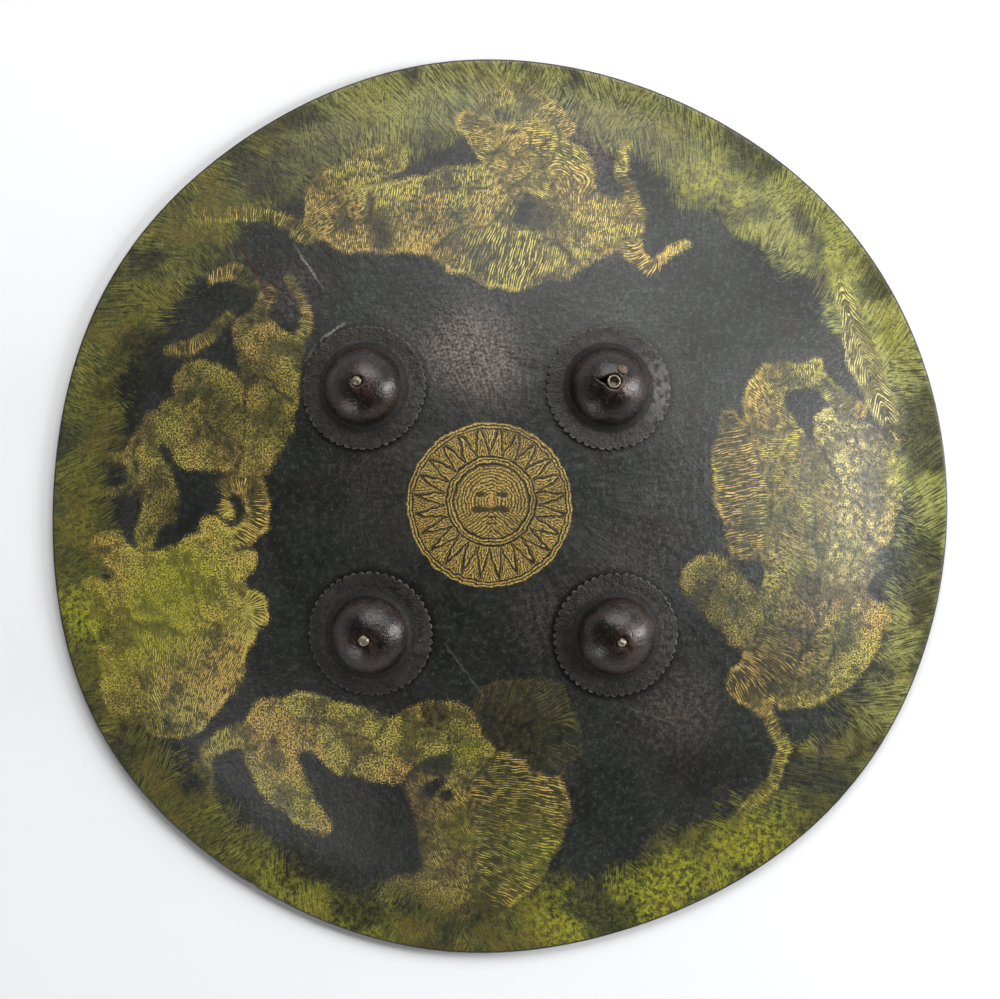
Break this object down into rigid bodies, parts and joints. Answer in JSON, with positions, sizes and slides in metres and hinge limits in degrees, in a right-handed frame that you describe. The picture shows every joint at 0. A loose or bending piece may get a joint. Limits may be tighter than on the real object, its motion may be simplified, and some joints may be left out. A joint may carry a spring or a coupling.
{
  "type": "dhal shield",
  "caption": "Round domed hide shield with a softly recurved brim, raised iron bosses on saw-toothed flanges, a small central sun and painted beasts, and ring-hung leather grips behind.",
  "frame": {"origin": "centre of the outline seen from above, in the plane of the rim's underside", "axes": "+Z out of the painted face, +Y towards the top of the face as it is shown, +X to its right"},
  "size_m": [0.499, 0.4982, 0.0735],
  "materials": {
    "lacquered_hide": "worn dark lacquer with gold and green hatched painting",
    "boss_iron": "dark brown polished patina",
    "bolt_iron": "worn forged iron",
    "mend_brass": "dull worn brass",
    "grip_leather": "worn brown leather",
    "pad_leather": "faded red-brown leather"
  },
  "bodies": {
    "root": {"shield_hide": "lacquered_hide", "boss_top_left": "boss_iron", "boss_top_right": "boss_iron", "boss_bottom_left": "boss_iron", "boss_bottom_right": "boss_iron", "ring_bolt_top_left": "bolt_iron", "ring_bolt_top_right": "bolt_iron", "ring_bolt_bottom_left": "bolt_iron", "ring_bolt_bottom_right": "bolt_iron", "ring_top_left": "bolt_iron", "ring_top_right": "bolt_iron", "ring_bottom_left": "bolt_iron", "ring_bottom_right": "bolt_iron", "mend_pin": "mend_brass", "grip_left": "grip_leather", "grip_right": "grip_leather", "knuckle_pad": "pad_leather"}
  },
  "joints": []
}
